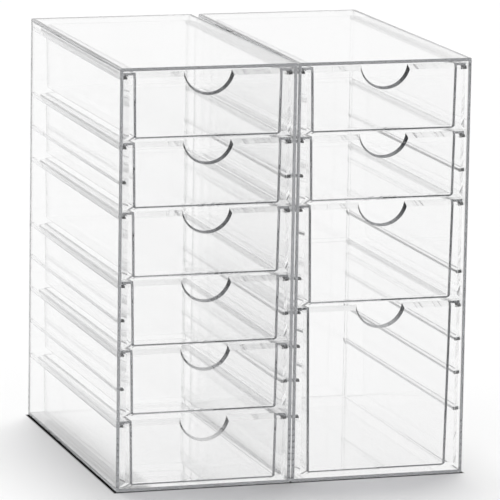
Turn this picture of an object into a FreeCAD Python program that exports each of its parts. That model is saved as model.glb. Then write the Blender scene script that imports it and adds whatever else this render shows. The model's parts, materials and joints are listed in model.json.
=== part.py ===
import FreeCAD
import Part

import math
import os

# Clear craft stamp drawers: two open-front cases stand side by side, and ten drawers hang in them
# on moulded runners. Millimetres and degrees. X runs to the right, Y from the open fronts to the
# backs, Z up. The origin is on the table, at the centre of the pair's footprint.

# ---------------------------------------------------------------- driving dimensions: the cases

case_width = 133.0            # outside, across the open front
case_depth = 260.0
case_wall = 2.4
case_draft = 0.5              # how far each side leans in towards the back
case_edge_radius = 1.0        # along the outer edges
case_gap = 0.8                # between the two cases, at their fronts

# ---------------------------------------------------------------- driving dimensions: the grid

pitch = 50.7                  # height taken by one single drawer and the gap over it
drawer_gap = 1.6              # between a drawer and the next one up
headroom = 1.3                # between the top drawer and the case's top panel
floor_room = 2.7              # under a drawer that hangs on the regular grid
lowest_drop = 1.9             # how far the lowest pair of runners sits below the grid

# Stacks of drawers that the runners can take, from the top down, each drawer in pitches.
single_stack = (1, 1, 1, 1, 1, 1)
mixed_stack = (1, 1, 1.5, 2.5)
medium_stack = (1.5, 1.5, 1.5, 1.5)

# ---------------------------------------------------------------- driving dimensions: the runners

runner_bearing = 1.4          # width of flange that rests on a runner, at the tray's back
runner_thickness = 2.3
runner_lead_in = 1.0          # bevel on a runner's front end

# ---------------------------------------------------------------- driving dimensions: the drawers

front_bevel_width = 3.5       # of the border, seen from the front
front_bevel_depth = 3.0
front_land = 0.4              # square edge left behind the bevel
notch_radius = 17.9
notch_rise = 2.0              # of the finger notch's centre over the front's top edge
notch_bevel_width = 1.7
notch_land = 0.7              # square edge left behind the notch's bevel
tray_wall = 1.9
tray_floor = 1.6
tray_draft = 1.0
tray_corner_radius = 2.1      # inside, between the back and the sides
tray_bottom_radius = 2.7      # outside, along the underside
flange_thickness = 2.0
flange_lead_in = 2.0          # bevel on a flange's back corner

# ---------------------------------------------------------------- clearances

side_clearance = 1.1          # drawer front, and its flanges, to the case's sides
front_recess = 0.3            # drawer front behind the case's front edges
rim_step = 0.5                # tray rim below the front's top edge
base_step = 1.2               # tray underside above the front's bottom edge
tray_side_clearance = 3.4     # tray side to the runner's inner edge
tray_back_room = 16.3         # tray to the case's back panel
flange_clearance = 0.25       # flange above its runner
runner_clearance = 0.4        # runner's end behind the drawer front

# ---------------------------------------------------------------- worked out from them

levels = sum(single_stack)
case_height = 2 * case_wall + floor_room + levels * pitch - drawer_gap + headroom
case_front = -case_depth / 2
case_back = case_depth / 2
lean = math.tan(math.radians(case_draft))

front_thickness = front_bevel_depth + front_land
front_face = case_front + front_recess
tray_front = front_face + front_thickness
tray_back = case_back - case_wall - tray_back_room


def outer_half(y):
    """Half the case's outside width at the depth y."""
    return case_width / 2 - lean * (y - case_front)


def inner_half(y):
    """Half the case's inside width at the depth y."""
    return outer_half(y) - case_wall


def flange_half(y):
    """Half the width over a tray's two flanges: they follow the case's sides."""
    return inner_half(y) - side_clearance


front_half = inner_half(case_front) - side_clearance
runner_half = flange_half(tray_back) - runner_bearing
tray_half = runner_half - tray_side_clearance


def stack_levels(stack):
    """Levels at which the drawers of a stack hang, from the top down, counted in pitches."""
    return [levels - sum(stack[:place]) for place in range(len(stack))]


# Every level that one of the stacks needs has a pair of runners.
runner_levels = sorted(
    set(stack_levels(single_stack) + stack_levels(mixed_stack) + stack_levels(medium_stack)),
    reverse=True)


def drawer_top(level):
    """Height of the top edge of a drawer that hangs at a level."""
    drop = lowest_drop if level == runner_levels[-1] else 0
    return case_wall + floor_room + level * pitch - drawer_gap - drop


# ---------------------------------------------------------------- helpers

def polygon(points):
    """Closed wire through the given (x, y, z) points."""
    corners = [FreeCAD.Vector(*point) for point in points]
    return Part.makePolygon(corners + corners[:1])


def plan_prism(plan, low, high):
    """Upright block with the given (x, y) outline."""
    face = Part.Face(polygon([(x, y, low) for x, y in plan]))
    return face.extrude(FreeCAD.Vector(0, 0, high - low))


def tapered_bar(start_x, start_z, end_x, end_z, start, end):
    """Flat-sided bar along Y, between one upright rectangle at its start and another at its end."""
    return Part.makeWedge(
        start_x[0], start, start_z[0], end_z[0], end_x[0],
        start_x[1], end, start_z[1], end_z[1], end_x[1])


def edges_where(shape, test, skip=lambda point: False):
    """Edges whose two ends both pass the test, apart from those whose two ends both pass skip."""
    def ends_pass(edge, check):
        return all(check(vertex.Point) for vertex in edge.Vertexes)

    return [edge for edge in shape.Edges if ends_pass(edge, test) and not ends_pass(edge, skip)]


def near(value, target):
    tolerance = 1e-6
    return abs(value - target) < tolerance


# ---------------------------------------------------------------- the cases

def case_plate(low, outer_face):
    """Top or floor panel: a drafted plate, rounded along its outer edges."""
    plan = [
        (-outer_half(case_front), case_front),
        (outer_half(case_front), case_front),
        (outer_half(case_back), case_back),
        (-outer_half(case_back), case_back),
    ]
    plate = plan_prism(plan, low, low + case_wall)
    rounded = edges_where(
        plate, lambda point: near(point.z, outer_face), skip=lambda point: near(point.y, case_front))
    for corner in (-outer_half(case_back), outer_half(case_back)):
        rounded += edges_where(plate, lambda point: near(point.x, corner))
    return plate.makeFillet(case_edge_radius, rounded)


def case_back_panel():
    """Back panel, between the two sides."""
    inside = case_back - case_wall
    plan = [
        (-inner_half(inside), inside),
        (inner_half(inside), inside),
        (inner_half(case_back), case_back),
        (-inner_half(case_back), case_back),
    ]
    return plan_prism(plan, case_wall, case_height - case_wall)


def runner(level):
    """One runner, on the right: its inner edge runs straight back, its root is inside the wall."""
    start = tray_front + runner_clearance
    end = case_back - case_wall
    half_wall = case_wall / 2
    plan = [
        (runner_half, start),
        (inner_half(start) + half_wall, start),
        (inner_half(end) + half_wall, end),
        (runner_half, end),
    ]
    top = drawer_top(level) - rim_step - flange_thickness - flange_clearance
    bar = plan_prism(plan, top - runner_thickness, top)
    lead_edge = edges_where(bar, lambda point: near(point.y, start) and near(point.z, top))
    return bar.makeChamfer(runner_lead_in, lead_edge)


def case_side():
    """Right-hand side panel with all its runners."""
    plan = [
        (inner_half(case_front), case_front),
        (outer_half(case_front), case_front),
        (outer_half(case_back), case_back),
        (inner_half(case_back), case_back),
    ]
    wall = plan_prism(plan, case_wall, case_height - case_wall)
    back_corner = edges_where(wall, lambda point: near(point.x, outer_half(case_back)))
    wall = wall.makeFillet(case_edge_radius, back_corner)
    return wall.fuse([runner(level) for level in runner_levels]).removeSplitter()


def build_case(name, outer_direction):
    """Nodes of one case, centred on X. outer_direction is -1 where its outer side is the left one."""
    right_side = case_side()
    left_side = right_side.mirror(FreeCAD.Vector(0, 0, 0), FreeCAD.Vector(1, 0, 0))
    outer, inner = (right_side, left_side) if outer_direction > 0 else (left_side, right_side)
    return {
        name + "_top": case_plate(case_height - case_wall, case_height),
        name + "_floor": case_plate(0, 0),
        name + "_back": case_back_panel(),
        name + "_outer_side": outer,
        name + "_inner_side": inner,
    }


# ---------------------------------------------------------------- the drawers

def finger_notch(top):
    """Half-moon cutter for the finger notch, with the flare of its bevel at the front."""
    centre = FreeCAD.Vector(0, front_face, top + notch_rise)
    inwards = FreeCAD.Vector(0, 1, 0)
    hole = Part.makeCylinder(notch_radius, front_thickness, centre, inwards)
    flare_depth = front_thickness - notch_land
    flare = Part.makeCone(notch_radius + notch_bevel_width, notch_radius, flare_depth, centre, inwards)
    return hole.fuse(flare)


def drawer_front(top, height):
    """Clear front: a bevelled border all round, a square edge behind it, and the finger notch."""
    def span(low, high, inset):
        return (low + inset, high - inset)

    bottom = top - height
    width = span(-front_half, front_half, 0)
    rise = span(bottom, top, 0)
    face_width = span(-front_half, front_half, front_bevel_width)
    face_rise = span(bottom, top, front_bevel_width)
    bevel_back = front_face + front_bevel_depth
    bevelled = tapered_bar(face_width, face_rise, width, rise, front_face, bevel_back)
    square = tapered_bar(width, rise, width, rise, bevel_back, tray_front)
    return bevelled.fuse(square).cut(finger_notch(top)).removeSplitter()


def drafted_block(half, front, back, low, high, corner_radius):
    """Block that narrows downwards at its sides and back, with its two back corners rounded."""
    taper = math.tan(math.radians(tray_draft)) * (high - low)
    # It is made lying down, tapering along Y, and is then stood up.
    block = tapered_bar(
        (-half + taper, half - taper), (-back + taper, -front),
        (-half, half), (-back, -front), low, high)
    block.rotate(FreeCAD.Vector(0, 0, 0), FreeCAD.Vector(1, 0, 0), 90)
    middle = (front + back) / 2
    corners = []
    for side in (-1, 1):
        corners += edges_where(block, lambda point: point.y > middle and side * point.x > 0)
    return block.makeFillet(corner_radius, corners)


def flange(rim):
    """Hanging flange along the tray's right side, with a bevelled back corner."""
    end = tray_back - tray_corner_radius - tray_wall
    root = tray_half - tray_wall / 2
    plan = [
        (root, tray_front),
        (flange_half(tray_front), tray_front),
        (flange_half(end), end - flange_lead_in),
        (flange_half(end) - flange_lead_in, end),
        (root, end),
    ]
    return plan_prism(plan, rim - flange_thickness, rim)


def drawer_tray(top, height):
    """Thin-walled tray, open at the top and towards the front, with a flange along each side."""
    rim = top - rim_step
    base = top - height + base_step
    outside = drafted_block(
        tray_half, tray_front, tray_back, base, rim, tray_corner_radius + tray_wall)
    bottom_edges = edges_where(
        outside, lambda point: near(point.z, base), skip=lambda point: near(point.y, tray_front))
    outside = outside.makeFillet(tray_bottom_radius, bottom_edges)
    slope = math.tan(math.radians(tray_draft))
    overrun = tray_wall
    inside = drafted_block(
        tray_half - tray_wall + slope * overrun, tray_front - overrun,
        tray_back - tray_wall + slope * overrun, base + tray_floor, rim + overrun,
        tray_corner_radius)
    right_flange = flange(rim)
    left_flange = right_flange.mirror(FreeCAD.Vector(0, 0, 0), FreeCAD.Vector(1, 0, 0))
    return outside.cut(inside).fuse([right_flange, left_flange]).removeSplitter()


def build_drawers(side, stack):
    """Nodes of the drawers of one case, centred on X, numbered from the top down."""
    nodes = {}
    for number, (size, level) in enumerate(zip(stack, stack_levels(stack)), start=1):
        name = f"{side}_drawer_{number}"
        top = drawer_top(level)
        height = size * pitch - drawer_gap
        nodes[name + "_front"] = drawer_front(top, height)
        nodes[name + "_tray"] = drawer_tray(top, height)
    return nodes


# ---------------------------------------------------------------- the pair

def build_pair():
    """All nodes, each in its place."""
    nodes = {}
    for side, direction, stack in (("left", -1, single_stack), ("right", 1, mixed_stack)):
        shapes = build_case(side + "_case", direction) | build_drawers(side, stack)
        centre = direction * (case_width + case_gap) / 2
        for name, shape in shapes.items():
            shape.translate(FreeCAD.Vector(centre, 0, 0))
            nodes[name] = shape
    return nodes


os.makedirs("parts", exist_ok=True)
for node, shape in build_pair().items():
    shape.exportStep(f"parts/{node}.step")
    print(f"{node}: {len(shape.Solids)} solid, {shape.Volume / 1000:.1f} cm3, valid {shape.isValid()}")
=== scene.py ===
# %% [markdown]
# These are clear styrene drawers for stamps and other craft supplies. Two open-front cases stand
# side by side, six drawers hang in the left one and four in the right one, and every wall can be
# seen through. Clear plastic is hard on a model: a ray passes through a dozen walls, and any face
# left inside a wall shows as a crack. So each case and each drawer is made here as one closed
# skin, the way it comes out of its mould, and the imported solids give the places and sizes.

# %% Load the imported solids
import json
import math

import bmesh
import bpy
from mathutils import Matrix, Vector

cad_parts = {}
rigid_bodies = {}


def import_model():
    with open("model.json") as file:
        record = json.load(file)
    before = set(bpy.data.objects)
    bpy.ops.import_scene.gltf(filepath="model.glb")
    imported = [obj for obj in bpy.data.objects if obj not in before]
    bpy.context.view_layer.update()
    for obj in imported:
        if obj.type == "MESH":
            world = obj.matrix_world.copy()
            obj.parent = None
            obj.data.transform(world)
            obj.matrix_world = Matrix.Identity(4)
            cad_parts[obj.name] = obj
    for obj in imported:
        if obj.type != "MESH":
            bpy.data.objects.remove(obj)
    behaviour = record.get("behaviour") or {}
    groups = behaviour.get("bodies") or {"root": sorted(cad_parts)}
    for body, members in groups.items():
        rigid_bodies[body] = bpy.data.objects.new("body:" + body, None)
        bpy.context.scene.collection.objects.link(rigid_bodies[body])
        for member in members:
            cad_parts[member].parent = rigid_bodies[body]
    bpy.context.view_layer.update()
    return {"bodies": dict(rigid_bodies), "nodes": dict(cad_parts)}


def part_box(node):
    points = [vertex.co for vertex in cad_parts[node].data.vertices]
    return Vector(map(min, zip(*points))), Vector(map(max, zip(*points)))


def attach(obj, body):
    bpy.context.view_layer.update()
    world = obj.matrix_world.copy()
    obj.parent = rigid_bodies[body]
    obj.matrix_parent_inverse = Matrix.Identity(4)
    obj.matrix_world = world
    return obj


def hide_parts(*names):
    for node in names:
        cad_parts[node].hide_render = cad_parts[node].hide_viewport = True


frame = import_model()
mm = 0.001

# %% [markdown]
# The camera comes first, because it shows at once whether the solids are in proportion. It stands
# far off with a long lens, to the left of the pair and a little above it, so that the upright
# edges stay nearly parallel. Its place and its turn are set as a matrix of three unit vectors:
# right, up and back.

# %% Camera
camera_place = Vector((-1.0392, -3.3136, 0.8146))
camera_azimuth = math.radians(-17.52)
camera_elevation = math.radians(10.84)
camera_roll = math.radians(0.938)
camera_lens = 337.3             # millimetres, as is the width of the sensor
camera_sensor = 36


def aim_camera():
    """Camera at the product's viewing angle, looking slightly down on it."""
    flat_right = Vector((math.cos(camera_azimuth), math.sin(camera_azimuth), 0))
    back = Vector((
        math.sin(camera_azimuth) * math.cos(camera_elevation),
        -math.cos(camera_azimuth) * math.cos(camera_elevation),
        math.sin(camera_elevation)))
    flat_up = back.cross(flat_right)
    right = flat_right * math.cos(camera_roll) + flat_up * math.sin(camera_roll)
    up = flat_up * math.cos(camera_roll) - flat_right * math.sin(camera_roll)
    data = bpy.data.cameras.new("camera")
    data.sensor_width = camera_sensor
    data.lens = camera_lens
    camera = bpy.data.objects.new("camera", data)
    turn = Matrix((right, up, back)).transposed()
    camera.matrix_world = Matrix.Translation(camera_place) @ turn.to_4x4()
    bpy.context.scene.collection.objects.link(camera)
    bpy.context.scene.camera = camera


aim_camera()
print("camera", round(camera_place.length, 2), "m from the drawers")

# %% [markdown]
# Meshes are put together from a list of rings. A ring is a row of points, and a skin is stretched
# from each ring to the next one. The first and last rings are closed with a lid. Most of the
# pieces below are such skins, and a boolean then joins them or cuts one from another. Moulded
# plastic has no knife-sharp edge, so a Bevel modifier of one segment breaks each one at the end.
# On clear plastic that small slanting face does a lot of work: it bends the light away and draws
# the edge as a line. It only does so while it shades flat, so just the small faces of curved
# places are smoothed.

# %% Mesh helpers
def new_piece(name, mesh):
    """Object for a mesh that already stands in its place."""
    piece = bpy.data.objects.new(name, mesh)
    bpy.context.scene.collection.objects.link(piece)
    return piece


def skin(name, rings):
    """Closed skin over a row of rings that have the same number of points."""
    form = bmesh.new()
    rows = [[form.verts.new(point) for point in ring] for ring in rings]
    for row, next_row in zip(rows, rows[1:]):
        for place in range(len(row)):
            follower = (place + 1) % len(row)
            form.faces.new((row[place], row[follower], next_row[follower], next_row[place]))
    form.faces.new(list(reversed(rows[0])))
    form.faces.new(rows[-1])
    bmesh.ops.recalc_face_normals(form, faces=form.faces)
    mesh = bpy.data.meshes.new(name)
    form.to_mesh(mesh)
    form.free()
    return new_piece(name, mesh)


def rectangle(x, z, y):
    """Upright rectangle across the depth y, from its ranges in x and z."""
    return [(x[0], y, z[0]), (x[1], y, z[0]), (x[1], y, z[1]), (x[0], y, z[1])]


def flattened(piece):
    """The piece with its modifiers applied for good."""
    graph = bpy.context.evaluated_depsgraph_get()
    mesh = bpy.data.meshes.new_from_object(piece.evaluated_get(graph))
    piece.modifiers.clear()
    piece.data = mesh
    return piece


def combined(piece, operation, *others):
    """The piece after each of the others is joined to it or cut from it."""
    for other in others:
        step = piece.modifiers.new("step", "BOOLEAN")
        step.operation = operation
        step.solver = "EXACT"
        step.object = other
    flattened(piece)
    for other in others:
        bpy.data.objects.remove(other)
    return piece


sharp_bend = math.radians(40)   # edges that bend by more than this are broken
smooth_bend = sharp_bend / 2    # edges that bend by less than this shade as one surface
flat_bend = 0.01                # a bend too small to count
curved_area = 3e-4              # curved faces are smaller than this, in square metres
merge_distance = 1e-6


def with_broken_edges(piece, width):
    """Breaks the sharp edges and lets the small curved faces shade as one surface."""
    form = bmesh.new()
    form.from_mesh(piece.data)
    bmesh.ops.remove_doubles(form, verts=form.verts, dist=merge_distance)
    bmesh.ops.dissolve_degenerate(form, edges=form.edges, dist=merge_distance)
    form.to_mesh(piece.data)
    form.free()
    breaking = piece.modifiers.new("breaking", "BEVEL")
    breaking.limit_method = "ANGLE"
    breaking.angle_limit = sharp_bend
    breaking.width = width
    breaking.segments = 1
    flattened(piece)
    form = bmesh.new()
    form.from_mesh(piece.data)
    for edge in form.edges:
        edge.smooth = edge.calc_face_angle(0) < smooth_bend
    for face in form.faces:
        bends = [edge.calc_face_angle(0) for edge in face.edges]
        curved = any(flat_bend < bend < smooth_bend for bend in bends)
        face.smooth = curved and face.calc_area() < curved_area
    form.to_mesh(piece.data)
    form.free()
    return piece


def spread(node, axis, test=lambda point: True):
    """Lowest and highest place along an axis of the node's points that pass the test."""
    vertices = frame["nodes"][node].data.vertices
    places = [vertex.co[axis] for vertex in vertices if test(vertex.co)]
    return min(places), max(places)


# %% [markdown]
# Node trees are built with one small class, for materials, for the world and for Geometry Nodes
# alike. A number that comes out of a node is wrapped, and Python's own operators on it add the
# Math nodes, so a formula in a tree reads as a formula.

# %% Node helpers
class Number:
    """A number in a node tree. Arithmetic on it adds Math nodes."""

    def __init__(self, nodes, socket):
        self.nodes = nodes
        self.socket = socket

    def math_node(self, operation, *others):
        """Math node that takes this number first."""
        values = dict(enumerate((self, *others)))
        return self.nodes.number("ShaderNodeMath", {"operation": operation}, values)

    def __add__(self, other):
        return self.math_node("ADD", other)

    def __sub__(self, other):
        return self.math_node("SUBTRACT", other)

    def __mul__(self, other):
        return self.math_node("MULTIPLY", other)

    def __truediv__(self, other):
        return self.math_node("DIVIDE", other)

    def __neg__(self):
        return self * -1

    def __rsub__(self, other):
        return -self + other

    def __abs__(self):
        return self.math_node("ABSOLUTE")

    def __lt__(self, other):
        return self.math_node("LESS_THAN", other)

    def __gt__(self, other):
        return self.math_node("GREATER_THAN", other)

    def above(self, other):
        """The larger of the two numbers."""
        return self.math_node("MAXIMUM", other)

    def clamped(self):
        """The number held between 0 and 1."""
        return self.above(0).math_node("MINIMUM", 1)

    __radd__ = __add__
    __rmul__ = __mul__


class Nodes:
    """The nodes of one tree."""

    def __init__(self, tree):
        self.tree = tree
        tree.nodes.clear()

    def node(self, kind, settings=None, inputs=None):
        """New node: its settings first, then the values or links of its sockets."""
        made = self.tree.nodes.new(kind)
        for name, value in (settings or {}).items():
            setattr(made, name, value)
        for name, value in (inputs or {}).items():
            source = value.socket if isinstance(value, Number) else value
            if isinstance(source, bpy.types.NodeSocket):
                self.tree.links.new(source, made.inputs[name])
            else:
                made.inputs[name].default_value = source
        return made

    def number(self, kind, settings=None, inputs=None):
        """A node's first output as a number for arithmetic."""
        return Number(self, self.node(kind, settings, inputs).outputs[0])

    def parts(self, vector):
        """The three numbers of a vector."""
        split = self.node("ShaderNodeSeparateXYZ", None, {0: vector})
        return [Number(self, output) for output in split.outputs]

    def colour(self, factor, low, high):
        """Colour between two others. The factor runs from 0 to 1."""
        # the Mix node's sockets for colours can only be told by their places
        mix = self.node("ShaderNodeMix", {"data_type": "RGBA"}, {0: factor, 6: low, 7: high})
        return mix.outputs[2]


# %% [markdown]
# A case is a box that is open at the front, narrower at the back than at the front, so that it
# comes off its mould. Its skin runs from the back of the outside to the front, round the rim and
# down to the back of the inside. The outer edges are rounded by a millimetre and the rim is only
# broken, and that difference is what draws the thick and thin lines along the edges of clear
# plastic. A Bevel modifier that follows edge weights makes both at once.

# %% The case shells
outer_rounding = 1.0 * mm
rounding_steps = 3
rim_rounding = 0.25           # shares of the outer rounding
inner_rounding = 0.4
hair = 0.01 * mm              # less than any real size here


def case_shell(side):
    """One case without its runners."""
    low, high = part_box(side + "_case_top")
    wall = high.z - low.z
    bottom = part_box(side + "_case_floor")[0].z
    inner_back = spread(side + "_case_back", 0, lambda point: point.y > high.y - hair)
    lean = (inner_back[0] - wall - low.x) / (high.y - low.y)
    deepest = high.y - wall

    def sheet_at(depth, inset):
        shift = lean * (depth - low.y) + inset
        return rectangle((low.x + shift, high.x - shift), (bottom + inset, high.z - inset), depth)

    shell = skin(side + "_case_clear", [
        sheet_at(high.y, 0), sheet_at(low.y, 0), sheet_at(low.y, wall), sheet_at(deepest, wall)])
    weigh_edges(shell.data, low.y, deepest)
    rounding = shell.modifiers.new("rounding", "BEVEL")
    rounding.limit_method = "WEIGHT"
    rounding.width = outer_rounding
    rounding.segments = rounding_steps
    return flattened(shell)


def weigh_edges(mesh, front, deepest):
    """Bevel weights: full on the outer edges, less on the rim and inside."""
    weights = mesh.attributes.new("bevel_weight_edge", "FLOAT", "EDGE")
    halfway = (front + deepest) / 2
    for edge in mesh.edges:
        first, second = (mesh.vertices[end].co for end in edge.vertices)
        reach = max(first.y, second.y)
        if reach < halfway:
            weight = rim_rounding
        elif reach > deepest + hair:
            weight = 1
        else:
            weight = inner_rounding
        weights.data[edge.index].value = weight


cases = {side: case_shell(side) for side in ("left", "right")}
print("case shells:", {side: len(case.data.polygons) for side, case in cases.items()})

# %% [markdown]
# The runners are the ribs inside both walls that carry the drawers. Nine pairs of them stand one
# over another, all of one shape, so Geometry Nodes make one pair and set it on a column of
# points. A runner's inner edge goes straight back while the wall leans in, so its outline in plan
# is a quadrilateral. It is extruded down twice, and the front corners of its top are pushed back,
# which gives the small ramp that a drawer climbs when it is put in. The Material input is left
# empty here, because the runners melt into their case before any finish is given.

# %% The runners
runner_lead_in = 1.0 * mm
height_decimals = 5           # two heights in metres that agree this far are one


def runner_tree():
    """Geometry Nodes: a pair of runners on each point."""
    tree = bpy.data.node_groups.new("runners", "GeometryNodeTree")
    nodes = Nodes(tree)
    sockets = tree.interface
    sockets.new_socket("Levels", in_out="INPUT", socket_type="NodeSocketGeometry")
    for name in (
            "Inner edge", "Root in front", "Root at back", "Start", "End", "Thickness", "Lead-in"):
        sockets.new_socket(name, in_out="INPUT", socket_type="NodeSocketFloat")
    sockets.new_socket("Material", in_out="INPUT", socket_type="NodeSocketMaterial")
    sockets.new_socket("Runners", in_out="OUTPUT", socket_type="NodeSocketGeometry")
    given = nodes.node("NodeGroupInput").outputs
    lead_in = Number(nodes, given["Lead-in"])

    def corner(across, along):
        flat = nodes.node("ShaderNodeCombineXYZ", None, {0: given[across], 1: given[along]})
        return flat.outputs[0]

    plan = nodes.node("GeometryNodeCurvePrimitiveQuadrilateral", {"mode": "POINTS"}, {
        "Point 1": corner("Inner edge", "Start"),
        "Point 2": corner("Root in front", "Start"),
        "Point 3": corner("Root at back", "End"),
        "Point 4": corner("Inner edge", "End")})
    filled = nodes.node("GeometryNodeFillCurve", {"mode": "NGONS"}, {"Curve": plan.outputs[0]})
    lid = filled.outputs[0]
    drop = nodes.node("ShaderNodeCombineXYZ", None, {"Z": -1.0}).outputs[0]

    def lowered(mesh, depth, selection=None):
        inputs = {"Mesh": mesh, "Offset": drop, "Offset Scale": depth, "Individual": False}
        if selection is not None:
            inputs["Selection"] = selection
        return nodes.node("GeometryNodeExtrudeMesh", {"mode": "FACES"}, inputs)

    ramp = lowered(lid, lead_in)
    rest = Number(nodes, given["Thickness"]) - lead_in
    foot = lowered(ramp.outputs[0], rest, ramp.outputs["Top"])
    bar = nodes.node("GeometryNodeJoinGeometry", None, {"Geometry": foot.outputs[0]})
    top = nodes.node("GeometryNodeFlipFaces", None, {"Mesh": lid}).outputs[0]
    nodes.tree.links.new(top, bar.inputs["Geometry"])
    bar = nodes.node("GeometryNodeMergeByDistance", None, {
        "Geometry": bar.outputs[0], "Distance": hair})
    _, along, height = nodes.parts(nodes.node("GeometryNodeInputPosition").outputs[0])
    in_front = along < Number(nodes, given["Start"]) + hair
    on_top = height > -hair
    back = nodes.node("ShaderNodeCombineXYZ", None, {"Y": lead_in * in_front * on_top}).outputs[0]
    right = nodes.node("GeometryNodeSetPosition", None, {
        "Geometry": bar.outputs[0], "Offset": back})
    mirrored = nodes.node("GeometryNodeTransform", None, {
        "Geometry": right.outputs[0], "Scale": (-1, 1, 1)})
    left = nodes.node("GeometryNodeFlipFaces", None, {"Mesh": mirrored.outputs[0]})
    pair = nodes.node("GeometryNodeJoinGeometry", None, {"Geometry": right.outputs[0]})
    nodes.tree.links.new(left.outputs[0], pair.inputs["Geometry"])
    column = nodes.node("GeometryNodeInstanceOnPoints", None, {
        "Points": given["Levels"], "Instance": pair.outputs[0]})
    real = nodes.node("GeometryNodeRealizeInstances", None, {"Geometry": column.outputs[0]})
    painted = nodes.node("GeometryNodeSetMaterial", None, {
        "Geometry": real.outputs[0], "Material": given["Material"]})
    nodes.node("NodeGroupOutput", None, {"Runners": painted.outputs[0]})
    return tree


# %% Runners on the cases
def case_lean(side):
    """How far each side of the case leans in, for each metre towards the back."""
    low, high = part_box(side + "_case_top")
    inner_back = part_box(side + "_case_back")[1].x
    return (high.x - (high.z - low.z) - inner_back) / (high.y - low.y)


def set_inputs(modifier, **values):
    """Sets a Geometry Nodes modifier's inputs, each found by its name."""
    for socket in modifier.node_group.interface.items_tree:
        name = socket.name.replace(" ", "_").replace("-", "_").lower()
        if name in values:
            modifier[socket.identifier] = values[name]


def runner_bars(side, tree):
    """The eighteen runners of a case, as one mesh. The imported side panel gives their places."""
    panel = side + "_case_" + ("outer_side" if side == "right" else "inner_side")
    low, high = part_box(side + "_case_top")
    wall = high.z - low.z
    middle = (low.x + high.x) / 2
    inner_edge = spread(panel, 0)[0]
    start = spread(panel, 1, lambda point: point.x < inner_edge + hair)[0]
    end = high.y - wall / 2
    lean = case_lean(side)
    wall_middle = high.x - wall / 2 - middle
    ends = sorted({
        round(vertex.co.z, height_decimals) for vertex in frame["nodes"][panel].data.vertices
        if vertex.co.x < inner_edge + hair and vertex.co.y > end - wall})
    undersides, tops = ends[::2], ends[1::2]
    column = bpy.data.meshes.new(side + "_runners")
    column.from_pydata([(middle, 0, top) for top in tops], [], [])
    bars = new_piece(side + "_runners", column)
    modifier = bars.modifiers.new("runners", "NODES")
    modifier.node_group = tree
    set_inputs(
        modifier, inner_edge=inner_edge - middle, start=start, end=end,
        root_in_front=wall_middle - lean * (start - low.y),
        root_at_back=wall_middle - lean * (end - low.y),
        thickness=tops[0] - undersides[0], lead_in=runner_lead_in)
    print(side, "runners:", [round(top / mm, 1) for top in tops])
    return flattened(bars)


case_edge_break = 0.2 * mm
runners = runner_tree()
for side, case in cases.items():
    combined(case, "UNION", runner_bars(side, runners))
    with_broken_edges(case, case_edge_break)
    print(side, "case with runners:", len(case.data.polygons), "faces")

# %% [markdown]
# A drawer is a thin tray behind a thick front, welded into one. The tray is cut out of a block
# whose sides and back lean in towards the floor, because that is how a moulded tray leaves its
# mould. The block's rings are laid at the heights where its shape changes: one at the top, then a
# fan of them round the bottom edge. A larger block with its bottom higher up is the room inside
# it.

# %% The tray blocks
tray_inset = 6.9 * mm         # tray side behind the front's edge
tray_wall = 1.9 * mm
tray_floor = 1.6 * mm
tray_draft = math.tan(math.radians(1.0))
inner_corner = 2.1 * mm
outer_bottom = 2.7 * mm
inner_bottom = 0.8 * mm
corner_steps = 10
bottom_steps = 6
weld = 0.2 * mm               # how far a tray goes into its front


def tray_ring(middle, half, front, back, corner, height):
    """Outline of a tray at one height: square at the front, rounded at its two back corners."""
    ring = [(middle - half, front, height)]
    for side in (-1, 1):
        centre = Vector((middle + side * (half - corner), back - corner, height))
        for step in range(corner_steps + 1):
            turn = math.pi / 2 * step / corner_steps
            if side > 0:
                turn = math.pi / 2 - turn
            ring.append(centre + corner * Vector((side * math.cos(turn), math.sin(turn), 0)))
    ring.append((middle + half, front, height))
    return ring


def tray_block(name, middle, half, front, back, low, high, corner, bottom):
    """Solid block in the form of a tray. half and back are its sizes at the top."""
    insets = [(0, high)]
    for step in range(bottom_steps + 1):
        turn = math.pi / 2 * step / bottom_steps
        insets.append((bottom * (1 - math.cos(turn)), low + bottom * (1 - math.sin(turn))))
    rings = []
    for inset, height in insets:
        inset_here = inset + tray_draft * (high - height)
        rings.append(tray_ring(
            middle, half - inset_here, front, back - inset_here, corner - inset, height))
    return skin(name, rings)


# %% [markdown]
# The front is a slab with a wide bevel all round, which is the bright frame that the eye sees
# first. Its finger notch is a half-moon whose edge flares towards the front. Both are ring skins:
# the slab goes from a small rectangle to a large one, and the cutter from a large circle to a
# small one.

# %% The fronts and their notches
bevel_width = 3.5 * mm
bevel_depth = 3.0 * mm
notch_radius = 17.9 * mm
notch_rise = 2.0 * mm
notch_flare = 1.7 * mm
notch_land = 0.7 * mm         # square part of its edge, at the back
notch_steps = 128


def drawer_front(name, low, high):
    """Bevelled slab with its finger notch."""
    def outline(inset, depth):
        return rectangle((low.x + inset, high.x - inset), (low.z + inset, high.z - inset), depth)

    slab = skin(name, [
        outline(bevel_width, low.y), outline(0, low.y + bevel_depth), outline(0, high.y)])
    overrun = (high.y - low.y) / 2
    flare_end = high.y - notch_land
    slope = notch_flare / (flare_end - low.y)

    def circle(radius, depth):
        points = []
        for step in range(notch_steps):
            turn = 2 * math.pi * step / notch_steps
            points.append((
                (low.x + high.x) / 2 + radius * math.cos(turn), depth,
                high.z + notch_rise + radius * math.sin(turn)))
        return points

    cutter = skin(name + "_notch", [
        circle(notch_radius + notch_flare + slope * overrun, low.y - overrun),
        circle(notch_radius, flare_end),
        circle(notch_radius, high.y + overrun)])
    return combined(slab, "DIFFERENCE", cutter)


# %% [markdown]
# Each drawer is now put together: tray block, room inside, a hanging flange on each side, and the
# front. Solids that only touch would keep a wall between them, so the tray goes a little way into
# the front before they are welded. The last step breaks every sharp edge by about a third of a
# millimetre, a little more than on the cases, because hands rub the drawers round.

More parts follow.
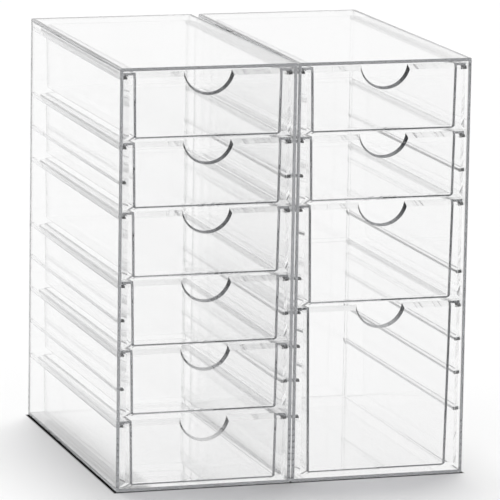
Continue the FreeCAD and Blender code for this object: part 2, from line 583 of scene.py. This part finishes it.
# %% The drawers
flange_thickness = 2.0 * mm
flange_lead_in = 2.0 * mm
drawer_edge_break = 0.3 * mm


def flange(name, side, middle, root, tray_box, end, lean):
    """Hanging flange along one side. Its outer edge follows the case's wall."""
    low, high = tray_box
    outer = (high.x - low.x) / 2
    outer_at_end = outer - lean * (end - low.y)
    plan = [
        (root, low.y - weld), (outer, low.y - weld), (outer_at_end, end - flange_lead_in),
        (outer_at_end - flange_lead_in, end), (root, end)]
    return skin(name, [
        [(middle + side * x, y, height) for x, y in plan]
        for height in (high.z - flange_thickness, high.z)])


def drawer(name, lean):
    """One drawer as a single closed skin."""
    front_low, front_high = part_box(name + "_front")
    low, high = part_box(name + "_tray")
    middle = (front_low.x + front_high.x) / 2
    half = (front_high.x - front_low.x) / 2 - tray_inset
    tray = tray_block(
        name + "_clear", middle, half, low.y - weld, high.y, low.z, high.z,
        inner_corner + tray_wall, outer_bottom)
    # the room reaches past the tray in front and on top, so that it cuts right through
    overrun = tray_wall
    room = tray_block(
        name + "_room", middle, half - tray_wall + tray_draft * overrun, low.y - overrun,
        high.y - tray_wall + tray_draft * overrun, low.z + tray_floor, high.z + overrun,
        inner_corner, inner_bottom)
    combined(tray, "DIFFERENCE", room)
    end = high.y - inner_corner - tray_wall
    flanges = [
        flange(f"{name}_flange_{side}", side, middle, half - tray_wall / 2, (low, high), end, lean)
        for side in (-1, 1)]
    combined(tray, "UNION", *flanges, drawer_front(name + "_slab", front_low, front_high))
    return with_broken_edges(tray, drawer_edge_break)


drawer_names = sorted(name for name in frame["bodies"] if name != "cases")
drawers = {name: drawer(name, case_lean(name.split("_")[0])) for name in drawer_names}
for name, piece in drawers.items():
    print(name, len(piece.data.polygons), "faces")

# %% [markdown]
# Clear styrene is a Principled shader with full transmission, a low roughness and an index of
# refraction of 1.5. Three things keep it from looking like nothing at all. The plastic swallows a
# little light on its way, which hardly shows through a wall of two millimetres but turns an edge
# grey, where the light has run the whole depth of the case inside the wall. The mould leaves the
# surface very slightly wavy. And the edge of the finger notch, the ends of the runners and the
# ends of the flanges have painted shade: a darker Base Color, in place of the dark surroundings
# that such edges of clear plastic pick up. They let less light through, and look dark. One
# function makes all five finishes, and a Mix node chooses between two tones by the way a face
# points, so a runner is clear along its length and painted dark at its end. Lamps shine through
# the plastic, so for shadow rays a Transparent shader takes the Principled one's place.

# %% Clear plastic
styrene_bends = 1.5
wave_scale = 14.0               # broad waves from the mould, about one each 70 mm
wave_height = 0.2 * mm
wave_strength = 0.02
wave_detail = 2.0
haze_scale = 60.0               # fine haze, in patches of about 15 mm
haze_roughness = 0.02
haze_detail = 4.0
edge_reach = 1.6                # how far round a rounding the painted shade of an edge goes
inner_tint = (0.32, 0.33, 0.35, 1)      # what is left of light, deep inside


def grey(value):
    """Colour with the same value in red, green and blue."""
    return value, value, value, 1


def clear_plastic(name, density, shade, tone, painted_edge_tone=None, edge_axis=0):
    """Clear moulded plastic, which swallows light inside at the given density.

    shade is what a shadow ray keeps of its light, and tone what the surface lets through.
    An edge tone, where given, is painted shade on the surfaces that face along the edge axis, such
    as the ends of the runners.
    """
    material = bpy.data.materials.new(name)
    material.use_nodes = True
    nodes = Nodes(material.node_tree)
    texture = nodes.node("ShaderNodeTexCoord").outputs
    place = texture["Object"]
    flow = nodes.number("ShaderNodeTexNoise", None, {
        "Vector": place, "Scale": wave_scale, "Detail": wave_detail})
    haze = nodes.number("ShaderNodeTexNoise", None, {
        "Vector": place, "Scale": haze_scale, "Detail": haze_detail})
    waves = nodes.node("ShaderNodeBump", None, {
        "Strength": wave_strength, "Distance": wave_height, "Height": flow})
    colour = grey(tone)
    if painted_edge_tone is not None:
        # painted shade: faces that look along the edge axis get the darker edge tone
        facing = nodes.parts(texture["Normal"])[edge_axis]
        colour = nodes.colour((facing * facing * edge_reach).clamped(), grey(tone), painted_edge_tone)
    glass = nodes.node("ShaderNodeBsdfPrincipled", None, {
        "Base Color": colour, "Roughness": haze * haze_roughness, "IOR": styrene_bends,
        "Transmission Weight": 1.0, "Normal": waves.outputs[0]})
    shaded = nodes.node("ShaderNodeBsdfTransparent", None, {"Color": shade})
    is_shadow = nodes.node("ShaderNodeLightPath").outputs["Is Shadow Ray"]
    surface = nodes.node("ShaderNodeMixShader", None, {
        0: is_shadow, 1: glass.outputs[0], 2: shaded.outputs[0]})
    inside = nodes.node("ShaderNodeVolumeAbsorption", None, {
        "Color": inner_tint, "Density": density})
    nodes.node("ShaderNodeOutputMaterial", None, {
        "Surface": surface.outputs[0], "Volume": inside.outputs[0]})
    return material


# %% The five finishes
across, along = 0, 1            # the axes of x and y
case_density, drawer_density = 6.0, 5.0
case_shade = (0.77, 0.77, 0.775, 1)
drawer_shade = (0.95, 0.95, 0.955, 1)
# painted shade: the notch, runners and flanges are a little darker than the walls, and the notch's
# edge and the ends of runners and flanges are much darker, in place of the dark surroundings that
# such edges of clear plastic pick up
case_tone, drawer_tone, notch_tone, rail_tone = 0.984, 0.995, 0.95, 0.96
painted_shade_edge, painted_shade_runner_end = grey(0.1), grey(0.03)
case_plastic = clear_plastic("case_plastic", case_density, case_shade, case_tone)
drawer_plastic = clear_plastic("drawer_plastic", drawer_density, drawer_shade, drawer_tone)
notch_plastic = clear_plastic(
    "notch_plastic", drawer_density, drawer_shade, notch_tone, painted_shade_edge, across)
runner_plastic = clear_plastic(
    "runner_plastic", case_density, case_shade, rail_tone, painted_shade_runner_end, along)
flange_plastic = clear_plastic(
    "flange_plastic", drawer_density, drawer_shade, rail_tone, painted_shade_edge, along)
print("finishes:", sorted(material.name for material in bpy.data.materials))

# %% [markdown]
# Each piece is one mesh, so its finishes are told apart face by face, by where a face lies. A
# small function makes the test for a piece, and another gives each face its material.

# %% Which faces have which finish
runner_reach = 8 * mm           # further than a runner stands out from its wall
wall_margin = 0.1 * mm          # keeps the faces of the walls themselves out
front_margin = 1 * mm           # and those of the case's rim
notch_slant = 0.8               # faces that look further forwards than this are the front's own


def in_notch(name):
    """Test for the faces of a drawer's finger notch."""
    low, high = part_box(name + "_front")
    centre = Vector(((low.x + high.x) / 2, 0, high.z + notch_rise))

    def test(face):
        reach = Vector((face.center.x, 0, face.center.z)) - centre
        return (
            face.center.y < high.y + hair and face.center.z < high.z
            and abs(face.normal.y) < notch_slant
            and notch_radius - hair < reach.length < notch_radius + notch_flare + hair)
    return test


def on_runners(side):
    """Test for the faces of a case's runners."""
    low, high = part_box(side + "_case_top")
    middle, wall = (low.x + high.x) / 2, high.z - low.z
    lean = case_lean(side)

    def test(face):
        inner = high.x - middle - wall - lean * (face.center.y - low.y)
        reach = inner - abs(face.center.x - middle)
        return wall_margin < reach < runner_reach and face.center.y > low.y + front_margin
    return test


def on_flanges(name):
    """Test for the faces of a drawer's flanges."""
    low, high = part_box(name + "_front")
    middle = (low.x + high.x) / 2
    root = (high.x - low.x) / 2 - tray_inset

    def test(face):
        beside = abs(face.center.x - middle) > root + wall_margin
        return beside and face.center.y > high.y + wall_margin
    return test


# %% Finishing the pieces
def finish_piece(piece, slot, body, nodes, material, *others):
    """Gives a piece its finishes and its body. others are pairs of a material and its test."""
    piece.data.materials.clear()
    for finish in [material] + [other for other, _ in others]:
        piece.data.materials.append(finish)
    counts = [0] * (len(others) + 1)
    for face in piece.data.polygons:
        face.material_index = 0
        for number, (_, test) in enumerate(others, 1):
            if test(face):
                face.material_index = number
        counts[face.material_index] += 1
    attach(piece, body)
    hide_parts(*nodes)
    print(piece.name, "faces in each finish:", counts)


for side, case in cases.items():
    panels = [node for node in frame["nodes"] if node.startswith(side + "_case_")]
    finish_piece(
        case, "clear_case", "cases", panels, case_plastic, (runner_plastic, on_runners(side)))
for name, piece in drawers.items():
    finish_piece(
        piece, "clear_tray", name, [name + "_front", name + "_tray"], drawer_plastic,
        (notch_plastic, in_notch(name)), (flange_plastic, on_flanges(name)))
print("finished", len(cases) + len(drawers), "pieces")

# %% [markdown]
# The floor is matte and almost white, and it takes the soft shadow of the cases. What is seen of
# it glows a little, so that it meets the white background without a line. Seen through the
# plastic it is mostly an even white, because light that really shines down through the cases is
# more than these few shadow rays bring. Light Path tells the rays of sight, which run from the
# eye straight, mirrored or through plastic, from the ones that only carry light.
#
# Where a case stands, no light gets in under its edge. Real contact is a dark line a millimetre
# or two wide, finer than any soft shadow, so the floor's colour has it: a band round both
# footprints. Its place comes from the case's own box, as the distance to a rectangle whose sides
# lean in. Along the left case's outer wall the shade goes further in, under the wall and its
# runners. In the narrow gap between the cases the two lines would meet and turn black, so light
# is let in there.

# %% Floor
floor_width = 24.0
floor_level = -0.2 * mm         # just under the cases, so that no two faces share a place
floor_white = 0.8
floor_glow = 0.10
through_share = 0.85            # how much of the floor is an even white, seen through plastic
contact_core = 0.7 * mm
contact_width = 1.6 * mm
back_margin = 2.4 * mm          # from the back panel's edge to the outside of the case
strip_width = 30 * mm
strip_back_room = 2 * mm        # the strip ends this far short of the back
strip_shade = 0.68
gap_half_width = 6 * mm
gap_light = 0.6
crisp, soft = 1000, 200         # how fast an edge of a mask comes up, for each metre
bent_rays = ("Is Glossy Ray", "Is Transmission Ray")
sight_rays = ("Is Camera Ray", *bent_rays)


def rays(nodes, *kinds):
    """1 for rays of the given kinds, 0 for others."""
    path = nodes.node("ShaderNodeLightPath").outputs
    return sum(Number(nodes, path[kind]) for kind in kinds).clamped()


def off_the_line(x, y, low, high, lean):
    """0 on the outline of a case's footprint, 1 a little away from it on both sides."""
    outside_x = abs(x - (low.x + high.x) / 2) - ((high.x - low.x) / 2 - (y - low.y) * lean)
    outside_y = abs(y - (low.y + high.y) / 2) - (high.y - low.y) / 2
    distance = abs(outside_x.above(outside_y))
    return ((distance - contact_core) / contact_width).clamped()


def under_left_wall(x, y, low, high, lean):
    """1 in the strip of floor just inside a case's left wall, 0 elsewhere."""
    inward = x - (low.x + (y - low.y) * lean)
    return (
        (inward * crisp).clamped() * ((strip_width - inward) * soft).clamped()
        * ((y - low.y) * crisp).clamped() * ((high.y - strip_back_room - y) * soft).clamped())


def open_floor(x, y):
    """1 on the open floor, falling to 0 in the dark lines where the cases stand."""
    clear = 1.0
    for side in cases:
        low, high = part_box(side + "_case_top")
        back_low, back_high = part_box(side + "_case_back")
        back_half_width = (back_high.x - back_low.x) / 2 + back_margin
        lean = ((high.x - low.x) / 2 - back_half_width) / (high.y - low.y)
        clear = off_the_line(x, y, low, high, lean) * clear
        if side == "left":
            clear = clear * (1 - under_left_wall(x, y, low, high, lean) * strip_shade)
    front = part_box("right_case_top")[0].y
    gap = ((gap_half_width - abs(x)) * crisp).clamped() * ((y - front) * soft).clamped()
    return clear.above(gap * gap_light)


def make_floor():
    """Matte floor under the cases, wide enough to fill the view."""
    material = bpy.data.materials.new("floor")
    material.use_nodes = True
    nodes = Nodes(material.node_tree)
    x, y, _ = nodes.parts(nodes.node("ShaderNodeTexCoord").outputs["Object"])
    clear = open_floor(x, y)
    matte = nodes.node("ShaderNodeBsdfPrincipled", None, {
        "Base Color": nodes.colour(clear, grey(0.0), grey(floor_white)),
        "Roughness": 1.0, "Specular IOR Level": 0.0,
        "Emission Color": nodes.colour(clear * rays(nodes, *sight_rays), grey(0.0), grey(1.0)),
        "Emission Strength": floor_glow})
    even = nodes.node("ShaderNodeEmission", None, {
        "Color": nodes.colour(clear, grey(0.0), grey(1.0))})
    through = rays(nodes, "Is Transmission Ray") * through_share
    surface = nodes.node("ShaderNodeMixShader", None, {
        0: through, 1: matte.outputs[0], 2: even.outputs[0]})
    nodes.node("ShaderNodeOutputMaterial", None, {"Surface": surface.outputs[0]})
    far = floor_width / 2
    corners = ((-far, -far), (far, -far), (far, far), (-far, far))
    mesh = bpy.data.meshes.new("floor")
    mesh.from_pydata([(*corner, floor_level) for corner in corners], [], [(0, 1, 2, 3)])
    mesh.materials.append(material)
    new_piece("floor", mesh)
    print("floor", floor_width, "m wide")


make_floor()

# %% [markdown]
# A clear thing is drawn by the dark places round it. In a studio a black board hangs overhead,
# just out of view, and the bent edges pick it up as thin grey lines. This world has one too: it
# is full white to the eye, dimmer where it only lights the scene, and for rays that the plastic
# has bent or mirrored it is dimmer straight overhead. Boards at the two sides would darken more
# edges, but seen from the side the whole stack would then look smoky, so there are none.
#
# The sun is broad and soft, and stands a little behind the drawers and to their right, so that
# the shadow falls forwards and to the left. It is switched off for mirrored and bent rays,
# because its image is many times as bright as white paper and would blot out what lies under a
# flat wall.

# %% World and sun
world_light = 0.4                       # for rays that only carry light
board_edge, board_rise = 0.75, 12       # height where the board begins, and how fast it darkens
board_depth = 0.5                       # how much darker it gets
sun_tilt = math.radians(18)             # from straight overhead
sun_bearing = math.radians(168)         # where it stands in plan
sun_spread = math.radians(26)
sun_strength = 2.5


def make_world():
    """White room with a grey board overhead, which only the plastic shows."""
    world = bpy.data.worlds.new("white_room")
    world.use_nodes = True
    bpy.context.scene.world = world
    nodes = Nodes(world.node_tree)
    height = nodes.parts(nodes.node("ShaderNodeTexCoord").outputs["Generated"])[2]
    board = ((height - board_edge) * board_rise).clamped() * rays(nodes, *bent_rays) * board_depth
    light = rays(nodes, *sight_rays) * (1 - world_light) + world_light
    background = nodes.node("ShaderNodeBackground", None, {
        "Color": grey(1.0), "Strength": light * (1 - board)})
    nodes.node("ShaderNodeOutputWorld", None, {"Surface": background.outputs[0]})


def make_sun():
    """Broad soft sun, which no mirrored or bent ray sees."""
    data = bpy.data.lights.new("sun", "SUN")
    data.angle = sun_spread
    data.energy = sun_strength
    lamp = bpy.data.objects.new("sun", data)
    lamp.rotation_euler = (sun_tilt, 0, sun_bearing)
    lamp.visible_glossy = False
    lamp.visible_transmission = False
    bpy.context.scene.collection.objects.link(lamp)


make_world()
make_sun()
print("lamps:", [lamp.name for lamp in bpy.data.lights])

# %% [markdown]
# Light in clear plastic runs along inside the walls and is mirrored many times before it comes
# out. Where Cycles gives up too early, it leaves a black line, so the bounces go far up. The
# colour view is Standard, which shows a colour about as it is written.

# %% Bounces and colour view
tracer = bpy.context.scene.cycles
tracer.max_bounces = 128
tracer.transmission_bounces = 96
tracer.glossy_bounces = 96
tracer.transparent_max_bounces = 64
bpy.context.scene.view_settings.view_transform = "Standard"
print("bounces:", tracer.max_bounces)
